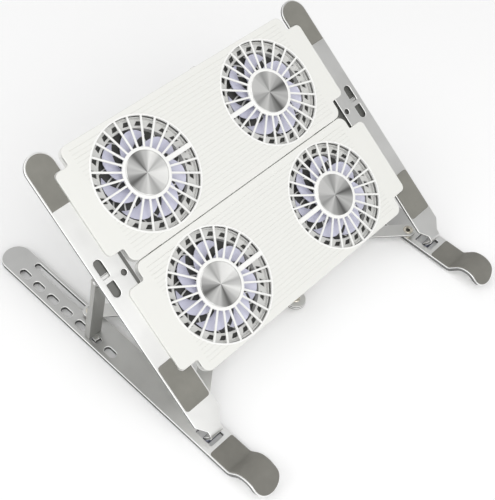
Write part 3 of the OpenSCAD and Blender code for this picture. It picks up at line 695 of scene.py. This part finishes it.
# ---------------------------------------------------------------- struts
def strut(side_name, side):
    body = f"{side_name}_strut"
    at = strut_frame(side)
    bm = bmesh.new()
    cheek = (arc(0, 0, STRUT_R, -19, 160, 16)
             + [(STRUT_FRONT, -2.2), (STRUT_FRONT, -STRUT_L), (STRUT_WIDE, -STRUT_L),
                (STRUT_WIDE, -STRUT_STEP - 1.5), (STRUT_BACK, -STRUT_STEP)])
    hole = circle(0, 0, STRUT_PIN_R + BORE_PLAY, 24)
    for s in (-1, 1):
        side_bm = bmesh.new()
        add_plate(side_bm, cheek, [hole], -STRUT_T / 2, STRUT_T / 2, 0.3, 0.3)
        shift = s * (STRUT_W - STRUT_T) / 2
        for v in side_bm.verts:
            y, z, x = v.co
            v.co = (x + shift, y, z)
        join_into(bm, side_bm)
    web_bm = bmesh.new()
    web = rounded(-STRUT_W / 2 + 0.1, -STRUT_L, STRUT_W / 2 - 0.1, -7, 0.8, 3)
    add_plate(web_bm, web, [], 0, STRUT_T, 0.2, 0.2)
    for v in web_bm.verts:
        x, z, d = v.co
        v.co = (x, STRUT_FRONT - 0.02 + d, z)
    join_into(bm, web_bm)
    obj = finish_mesh(f"{side_name}_strut_channel", bm, STRUT_METAL, body, at)
    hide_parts(f"{side_name}_strut")

    low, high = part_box(f"{side_name}_latch_tongue")
    inv = LEGS.inverted()
    low, high = (inv @ low) / MM, (inv @ high) / MM
    nose = [(low.y + 1.8, high.z), (low.y + 0.6, high.z - 0.5), (low.y, high.z - 1.7), (low.y, low.z),
            (high.y, low.z), (high.y, high.z)]
    bm = bmesh.new()
    add_plate(bm, nose, [], low.x, high.x, 0.25, 0.25)
    for v in bm.verts:
        y, z, x = v.co
        v.co = (x, y, z)
    obj = finish_mesh(f"{side_name}_latch_lip", bm, STEEL, body, LEGS)
    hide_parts(f"{side_name}_latch_tongue")


# ---------------------------------------------------------------- cross brace
BAR_RISE = (SLOT_PIN_Y - BRACE_Y) / (2 * CROSS_AT)
BAR_L = math.hypot(SLOT_X, BAR_RISE)
BAR_ANGLE = math.atan2(BAR_RISE, SLOT_X)
SMALL_HOLE, BIG_HOLE, OPEN_HOLE = 2.06, 2.56, 2.3


def bar(node, start, heading, layer, end_r, holes):
    a = math.asin(BAR_W / 2 / end_r)
    outline = (arc(0, 0, BAR_W / 2, 90, 270, 18)
               + arc(BAR_L, 0, end_r, -180 + math.degrees(a), 180 - math.degrees(a), 24))
    at = LEGS @ Matrix.Translation(Vector((*start, 0)) * MM) @ Matrix.Rotation(heading, 4, "Z")
    z = BAR_LAYER[layer]
    openings = [circle(d, 0, r, 24) for d, r in holes]
    obj = plate(f"{node}_strip", outline, openings, z, z + BAR_T, BAR_METAL, node, at,
                0.25, 0.25)
    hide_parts(node)


def rivet(node, body, place, r, z0, z1, head_r, collar=None, bore=0):
    """A turned rivet with two domed heads, and a spacing collar where it has one."""
    head = [(head_r, 0.0), (head_r - 0.1, 0.32), (head_r - 0.4, 0.56), (head_r - 0.7, 0.6)]
    if bore:
        head += [(head_r - 1.0, 0.5), (bore + 0.6, 0.05), (bore + 0.2, 0.0)]
    profile = [(q, z0 - h) for q, h in reversed(head)] + [(r, z0)]
    if collar:
        profile += [(r, collar[0]), (head_r, collar[0]), (head_r, collar[1]), (r, collar[1])]
    profile += [(r, z1)] + [(q, z1 + h) for q, h in head]
    if bore:
        profile += [(bore, z1 - 0.2), (bore, z0 + 0.2)]
        profile.append(profile[0])
    else:
        profile = [(0, z0 - 0.6)] + profile + [(0, z1 + 0.6)]
    obj = turned(f"{node}_turned", profile, (place[0], place[1], 0), BRASS, body, LEGS)
    if bore:
        # Painted shade: a dark plug in the bore stands in for the shade inside the hollow rivet.
        shade_plug = [(0, z1 - 2.2), (bore - 0.02, z1 - 2.2), (bore - 0.02, z1 - 1.2), (0, z1 - 1.2)]
        turned(f"{node}_well", shade_plug, (place[0], place[1], 0), FOAM_AND_SHADE, body, LEGS)
    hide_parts(node)


GAP, HEAD_R, BIG_HEAD_R, RIVET_R, SMALL_RIVET_R, RIVET_BORE = 0.1, 3.4, 3.8, 2.5, 2, 1.7
LOW_TOP, HIGH_TOP = (z + BAR_T + GAP for z in BAR_LAYER)
LOW_BOTTOM, HIGH_BOTTOM = (z - GAP for z in BAR_LAYER)


def cross_brace():
    end_r = BAR_W / 2 + 0.01
    for node, start, heading, layer, far_r, first, last in (
        ("front_left_bar", (-SLOT_X, BRACE_Y), BAR_ANGLE, 0, end_r, BIG_HOLE, SMALL_HOLE),
        ("front_right_bar", (SLOT_X, BRACE_Y), math.pi - BAR_ANGLE, 1, end_r, BIG_HOLE, SMALL_HOLE),
        ("rear_left_bar", (-SLOT_X, SLOT_PIN_Y), -BAR_ANGLE, 1, CENTRE_R, SMALL_HOLE, SMALL_HOLE),
        ("rear_right_bar", (SLOT_X, SLOT_PIN_Y), math.pi + BAR_ANGLE, 0, CENTRE_R, SMALL_HOLE, OPEN_HOLE),
    ):
        bar(node, start, heading, layer, far_r, [(0, first), (CROSS_AT * BAR_L, SMALL_HOLE), (BAR_L, last)])
    cross_x, cross_y = SLOT_X * (1 - CROSS_AT), BRACE_Y + CROSS_AT * BAR_RISE
    under = -LEG_T - GAP
    for node, body, x, top, collar_top in (
        ("front_left_rivet", "left_leg", -SLOT_X, LOW_TOP, LOW_BOTTOM),
        ("front_right_rivet", "right_leg", SLOT_X, HIGH_TOP, HIGH_BOTTOM),
    ):
        rivet(node, body, (x, BRACE_Y), RIVET_R, under, top, BIG_HEAD_R, (GAP, collar_top), RIVET_BORE)
    for node, body, place in (
        ("left_cross_rivet", "front_left_bar", (-cross_x, cross_y)),
        ("right_cross_rivet", "front_right_bar", (cross_x, cross_y)),
        ("rear_centre_rivet", "front_left_bar", (0, BRACE_Y + BAR_RISE)),
        ("front_centre_rivet", "rear_left_bar", (0, SLOT_PIN_Y - BAR_RISE)),
    ):
        rivet(node, body, place, SMALL_RIVET_R, LOW_BOTTOM, HIGH_TOP, HEAD_R)
    for node, body, x, top, collar_top in (
        ("left_slot_pin", "rear_left_bar", -SLOT_X, HIGH_TOP, HIGH_BOTTOM),
        ("right_slot_pin", "rear_right_bar", SLOT_X, LOW_TOP, LOW_BOTTOM),
    ):
        rivet(node, body, (x, SLOT_PIN_Y), SMALL_RIVET_R, under, top, HEAD_R, (GAP, collar_top))


# ---------------------------------------------------------------- cooling pad
def panel_outline(row):
    """One panel with its two tabs, anticlockwise."""
    low, high = PANEL_U[row]
    t0, t1 = TAB_U[row]
    tab = TAB_X[row]
    half, c, t, f = PANEL_HALF, CORNER_R, TAB_R, 1.2
    right = (arc(half - c, low + c, c, -90, 0, 8) + arc(half + f, t0 - f, f, 180, 90, 4)
             + arc(tab - t, t0 + t, t, -90, 0, 8) + arc(tab - t, t1 - t, t, 0, 90, 8)
             + arc(half + f, t1 + f, f, 270, 180, 4) + arc(half - c, high - c, c, 0, 90, 8))
    return right + [(-x, u) for x, u in reversed(right)]


def press_ribs(bm, row):
    """Presses the grooves between the ribs into the top of a panel."""
    low, high = PANEL_U[row]
    first = math.ceil((low + RIB_MARGIN + RIB_HALF - RIB_PHASE) / RIB_PITCH)
    last = math.floor((high - RIB_MARGIN - RIB_HALF - RIB_PHASE) / RIB_PITCH)
    grooves = [RIB_PITCH * k + RIB_PHASE for k in range(first, last + 1)]
    cut_across(bm, [u + d for u in grooves for d in (-RIB_HALF, 0, RIB_HALF)])
    cut_across(bm, [side * x for x in (RIB_EDGE_X, RIB_EDGE_X - RIB_HALF) for side in (-1, 1)], axis=0)
    near = 0.01
    for v in bm.verts:
        x, u, n = v.co
        nearest = RIB_PITCH * round((u - RIB_PHASE) / RIB_PITCH) + RIB_PHASE
        in_rows = grooves[0] - near < u < grooves[-1] + near and abs(u - nearest) < near
        if in_rows and abs(x) < RIB_EDGE_X - RIB_HALF / 2 and n > PANEL_TOP - near / 10:
            v.co.z -= RIB_DEPTH


def panel(row_name, row):
    body = "cooling_pad"
    low, high = PANEL_U[row]
    holes = [circle(s * FAN_X, FAN_U[row], GRILLE_R, 96) for s in (-1, 1)]
    obj = plate(f"{row_name}_panel_top", panel_outline(row), holes, GAP, PANEL_TOP, PANEL_WHITE[row],
                body, DECK, 0.55, 0.3, lambda bm: press_ribs(bm, row))
    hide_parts(f"{row_name}_panel")

    bm = bmesh.new()
    outer = rounded(-PANEL_HALF, low, PANEL_HALF, high, CORNER_R)
    add_plate(bm, outer, [inset(outer, SKIN)], SKIRT_N, PANEL_TOP - 0.9, 0.0, 0.3)
    finish_mesh(f"{row_name}_panel_skirt", bm, WHITE, body, DECK)

    bm = bmesh.new()
    spoke_top = PANEL_TOP - 0.15
    for s in (-1, 1):
        centre = Matrix.Translation((s * FAN_X, FAN_U[row], 0))
        spokes = [(SPOKE_W, spoke_top, 2 * math.pi * i / SPOKES) for i in range(SPOKES)]
        spokes.append((WIDE_SPOKE_W, spoke_top + 0.1, math.pi if s > 0 else 0))
        for width, top, turn in spokes:
            before = len(bm.verts)
            outline = rounded(HUB_R + 1, -width / 2, GRILLE_R + 0.6, width / 2, 0.2, 1)
            add_plate(bm, outline, [], spoke_top - 1.2, top, 0.45, 0.2)
            move_new(bm, before, centre @ Matrix.Rotation(turn, 4, "Z"))
        r, n = GRILLE_R, PANEL_TOP
        rim = [(r - 0.05, n - 1.5), (r - 0.05, n + 0.15), (r + 0.2, n + 0.32), (r + 0.8, n + 0.32),
               (r + 1.2, n - 0.02)]
        add_lathe(bm, rim, (s * FAN_X, FAN_U[row], 0), 96)
        r, outer_r = HUB_R, HUB_R + HUB_RING
        ring = [(r - 0.6, n - SKIN + 0.6), (r + 0.06, n - 0.3), (r + 0.06, n + 0.1), (r + 0.4, n + 0.3),
                (outer_r - 0.6, n + 0.3), (outer_r, n - 0.1), (outer_r, n - SKIN), (0, n - SKIN)]
        add_lathe(bm, ring, (s * FAN_X, FAN_U[row], 0), 72)
    finish_mesh(f"{row_name}_grilles", bm, GRILLE_WHITE, body, DECK)


def blade_mesh(bm):
    """Swept blades of a fan, each a thin curved sheet that leans back as it goes out."""
    inner, outer, height = ROTOR_HUB_R - 0.3, ROTOR_R, 3.9
    across, along = 10, 8
    for b in range(BLADES):
        start = 2 * math.pi * b / BLADES
        sheet = []
        for k in range(along + 1):
            t = k / along
            r = inner + (outer - inner) * t
            sweep = -0.62 * t ** 1.3
            width = 0.66 - 0.03 * t
            row = []
            for i in range(across + 1):
                s = i / across
                a = start + sweep + (s - 0.5) * width
                lift = BLADE_BOTTOM + height * (s ** 0.8) + 0.5 * math.sin(math.pi * s)
                r_here = min(outer, r * (1 - 0.06 * t * (2 * s - 1) ** 2))
                row.append(Vector((r_here * math.cos(a), r_here * math.sin(a), lift)))
            sheet.append(row)
        layers = []
        for side in (0.35, -0.35):
            layers.append([[bm.verts.new(p + Vector((0, 0, side))) for p in row] for row in sheet])
        top, low = layers
        for k in range(along):
            for i in range(across):
                bm.faces.new((top[k][i], top[k][i + 1], top[k + 1][i + 1], top[k + 1][i]))
                bm.faces.new((low[k][i], low[k + 1][i], low[k + 1][i + 1], low[k][i + 1]))
        border = ([(0, i) for i in range(across + 1)] + [(k, across) for k in range(1, along + 1)]
                  + [(along, i) for i in range(across - 1, -1, -1)]
                  + [(k, 0) for k in range(along - 1, 0, -1)])
        for (k0, i0), (k1, i1) in zip(border, border[1:] + border[:1]):
            bm.faces.new((top[k0][i0], top[k1][i1], low[k1][i1], low[k0][i0]))


def dress(node, material):
    """Gives a CAD solid that stays in the picture its material."""
    mesh = frame["nodes"][node].data
    mesh.materials.clear()
    mesh.materials.append(material)


def fan(row_name, row, side_name, side):
    name = f"{row_name}_{side_name}"
    at = DECK @ Matrix.Translation(Vector((side * FAN_X, FAN_U[row], 0)) * MM)
    bm = bmesh.new()
    blade_mesh(bm)
    r = ROTOR_HUB_R
    hub = [(0, -0.6), (r - 1.2, -0.6), (r - 0.3, -0.9), (r, -1.6), (r, BLADE_BOTTOM), (r - 1.4, BLADE_BOTTOM),
           (r - 1.4, -1.8), (1.2, -1.8), (1.2, -7.8), (0, -7.8)]
    add_lathe(bm, hub, (0, 0, 0), 64)
    obj = finish_mesh(f"{name}_impeller", bm, ROTOR_WHITE, f"{name}_fan", at, 30)
    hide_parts(f"{name}_rotor")

    n = PANEL_TOP
    disc = [(0, n - SKIN + 0.65), (HUB_R, n - SKIN + 0.65), (HUB_R, n),
            (HUB_R - 0.25, n + 0.28), (HUB_R - 0.6, n + 0.34)]
    disc += [((HUB_R - 0.8) * (1 - k / 16), n + 0.30 - 0.35 * math.sin(math.pi / 2 * k / 16))
             for k in range(17)]
    # Turning the round disc only moves its painted highlight wedges.
    turn = at @ Matrix.Rotation(math.radians(DISC_HIGHLIGHT_TURN[name]), 4, "Z")
    obj = turned(f"{name}_spun_disc", disc, (0, 0, 0), DISC, "cooling_pad", turn, steps=96)
    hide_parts(f"{name}_hub_cap")

    top, bottom, edge = FRAME_TOP, BASE_N + 1.1, GRILLE_R - GRILLE_PLAY
    bm = bmesh.new()
    slots = []
    for i in range(SPOKES):
        a = 360 * i / SPOKES
        first, last = a - WINDOW_HALF, a + WINDOW_HALF
        slots.append(arc(0, 0, WINDOW_OUT, first - WINDOW_SKEW, last - WINDOW_SKEW, 4)
                     + arc(0, 0, WINDOW_IN, last + WINDOW_SKEW, first + WINDOW_SKEW, 4))
    face = circle(0, 0, edge, 96)
    add_plate(bm, face, [circle(0, 0, DUCT_R, 96), *slots], top - 1.2, top, 0.25, 0.2, 2)
    duct = [(DUCT_R, top - 0.2), (DUCT_R, bottom), (DUCT_R + WALL_T, bottom), (DUCT_R + WALL_T, top - 0.2)]
    add_lathe(bm, duct, (0, 0, 0), 96)
    wall = [(edge, top - 0.2), (edge, RIM_TOP), (edge - 0.8, RIM_TOP), (edge - 0.8, top - 0.2)]
    add_lathe(bm, wall, (0, 0, 0), 96)
    add_plate(bm, circle(0, 0, MOTOR_R, 48), [], bottom, bottom + 0.8, 0.2, 0.2)
    for i in range(3):
        before = len(bm.verts)
        add_plate(bm, rounded(MOTOR_R - 1, -2, DUCT_R + 0.6, 2, 0.3, 2), [], bottom, bottom + 0.8, 0.2, 0.2)
        move_new(bm, before, Matrix.Rotation(math.radians(90 + 120 * i), 4, "Z"))
    obj = finish_mesh(f"{name}_shroud", bm, FRAME_GREY, "cooling_pad", at)
    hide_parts(f"{name}_fan_frame")
    bm = bmesh.new()
    opening = circle(0, 0, VANE_R, 48)
    add_plate(bm, circle(0, 0, DUCT_R - 0.2, 64), [opening], bottom + 0.9, bottom + 1.1, 0, 0)
    finish_mesh(f"{name}_outlet_gauze", bm, FOAM_AND_SHADE, "cooling_pad", at)
    bm = bmesh.new()
    line = [(VANE_R + (DUCT_R - VANE_R - 0.5) * k / 8, VANE_SWEEP * k / 8) for k in range(9)]
    one, other = (
        [(r * math.cos(a + e / r), r * math.sin(a + e / r)) for r, a in line] for e in (-VANE_HALF, VANE_HALF)
    )
    vane = one + other[::-1]
    for i in range(VANES):
        before = len(bm.verts)
        add_plate(bm, vane, [], bottom + 1.1, bottom + 1.5, 0, 0)
        move_new(bm, before, Matrix.Rotation(2 * math.pi * i / VANES, 4, "Z"))
    finish_mesh(f"{name}_outlet_vanes", bm, FRAME_GREY, "cooling_pad", at)
    # Painted shade: a dark ring under the window slots stands in for the shade inside the pad.
    low, high = top - 3.4, top - 1.5
    shade_ring = [(WINDOW_IN, low), (WINDOW_IN, high), (SHADE_RING_OUT, high), (SHADE_RING_OUT, low), (WINDOW_IN, low)]
    turned(f"{name}_painted_shade_ring", shade_ring, (0, 0, 0), FOAM_AND_SHADE, "cooling_pad", at, steps=64)
    dress(f"{name}_stator", COPPER)


for side_name, side in SIDES.items():
    leg(side_name, side)
    arm(side_name, side)
    strut(side_name, side)
cross_brace()
for row_name, row in ROWS.items():
    panel(row_name, row)
    for side_name, side in SIDES.items():
        fan(row_name, row, side_name, side)

CARRIED = {
    "rear_cover": WHITE, "front_cover": WHITE, "panel_link": ARM_METAL, "control_board": BOARD,
    "inlet_socket": STEEL, "speed_button": WHITE, "cover_screws": STEEL,
}
for node, material in CARRIED.items():
    dress(node, material)

# ---------------------------------------------------------------- floor, light and camera
scene = bpy.context.scene
scene.view_settings.view_transform = "Standard"

FLOOR_SIZE, FLOOR_DROP = 4, 0.0002
floor_mesh = bpy.data.meshes.new("floor")
floor_bm = bmesh.new()
bmesh.ops.create_grid(floor_bm, x_segments=2, y_segments=2, size=FLOOR_SIZE)
floor_bm.to_mesh(floor_mesh)
floor_bm.free()
floor = bpy.data.objects.new("floor", floor_mesh)
floor.location.z = -FLOOR_DROP
scene.collection.objects.link(floor)
pale = Nodes("pale_floor", (0.97, 0.97, 0.97), 0.0, 0.85)
pale.colour(pale.ramp(pale.noise(3, 2), [(0.3, (0.965, 0.965, 0.965)), (0.7, (0.98, 0.98, 0.98))]))
floor_mesh.materials.append(pale.material)

world = bpy.data.worlds.new("studio")
scene.world = world
world.use_nodes = True
nodes, links = world.node_tree.nodes, world.node_tree.links
background = nodes["Background"]
background.inputs["Strength"].default_value = 0.84
direction = nodes.new("ShaderNodeSeparateXYZ")
links.new(nodes.new("ShaderNodeTexCoord").outputs["Generated"], direction.inputs[0])
shift = nodes.new("ShaderNodeMath")
shift.operation = "MULTIPLY_ADD"
shift.inputs[1].default_value = shift.inputs[2].default_value = 0.5
links.new(direction.outputs["X"], shift.inputs[0])
walls = nodes.new("ShaderNodeValToRGB")
links.new(shift.outputs[0], walls.inputs["Fac"])
for element, (place, grey) in zip(
    [*walls.color_ramp.elements, *(walls.color_ramp.elements.new(x) for x in (0.67, 0.80))],
    ((0.0, 1.0), (1.0, 0.30), (0.67, 0.98), (0.80, 0.42)),
):
    element.position = place
    element.color = (grey, grey, grey, 1)
links.new(walls.outputs["Color"], background.inputs["Color"])


def lamp(name, place, target, size, power):
    data = bpy.data.lights.new(name, "AREA")
    data.shape = "DISK"
    data.size = size
    data.energy = power
    obj = bpy.data.objects.new(name, data)
    obj.location = place
    obj.rotation_euler = (Vector(target) - Vector(place)).to_track_quat("-Z", "Y").to_euler()
    scene.collection.objects.link(obj)


CENTRE = (0, 0, 0.06)
lamp("key", (-0.35, -0.9, 1.25), CENTRE, 1.6, 9)
lamp("fill", (-1.3, 0.7, 1.1), CENTRE, 1.4, 4)

CAMERA_PLACE = Vector((-0.3613, -0.2655, 0.5673))
FORWARD = Vector((0.5166, 0.4132, -0.7499)).normalized()
RIGHT = Vector((0.6901, -0.7194, 0.079))
RIGHT = (RIGHT - RIGHT.dot(FORWARD) * FORWARD).normalized()
UP = RIGHT.cross(FORWARD)
SENSOR, LENS, SHIFT = 36, 70.56, (0.0328, -0.0722)
camera_data = bpy.data.cameras.new("camera")
camera_data.sensor_width = SENSOR
camera_data.lens = LENS
camera_data.shift_x, camera_data.shift_y = SHIFT
camera_data.clip_start = 0.01
camera = bpy.data.objects.new("camera", camera_data)
camera.matrix_world = Matrix((
    (RIGHT.x, UP.x, -FORWARD.x, CAMERA_PLACE.x),
    (RIGHT.y, UP.y, -FORWARD.y, CAMERA_PLACE.y),
    (RIGHT.z, UP.z, -FORWARD.z, CAMERA_PLACE.z),
    (0, 0, 0, 1),
))
scene.collection.objects.link(camera)
scene.camera = camera
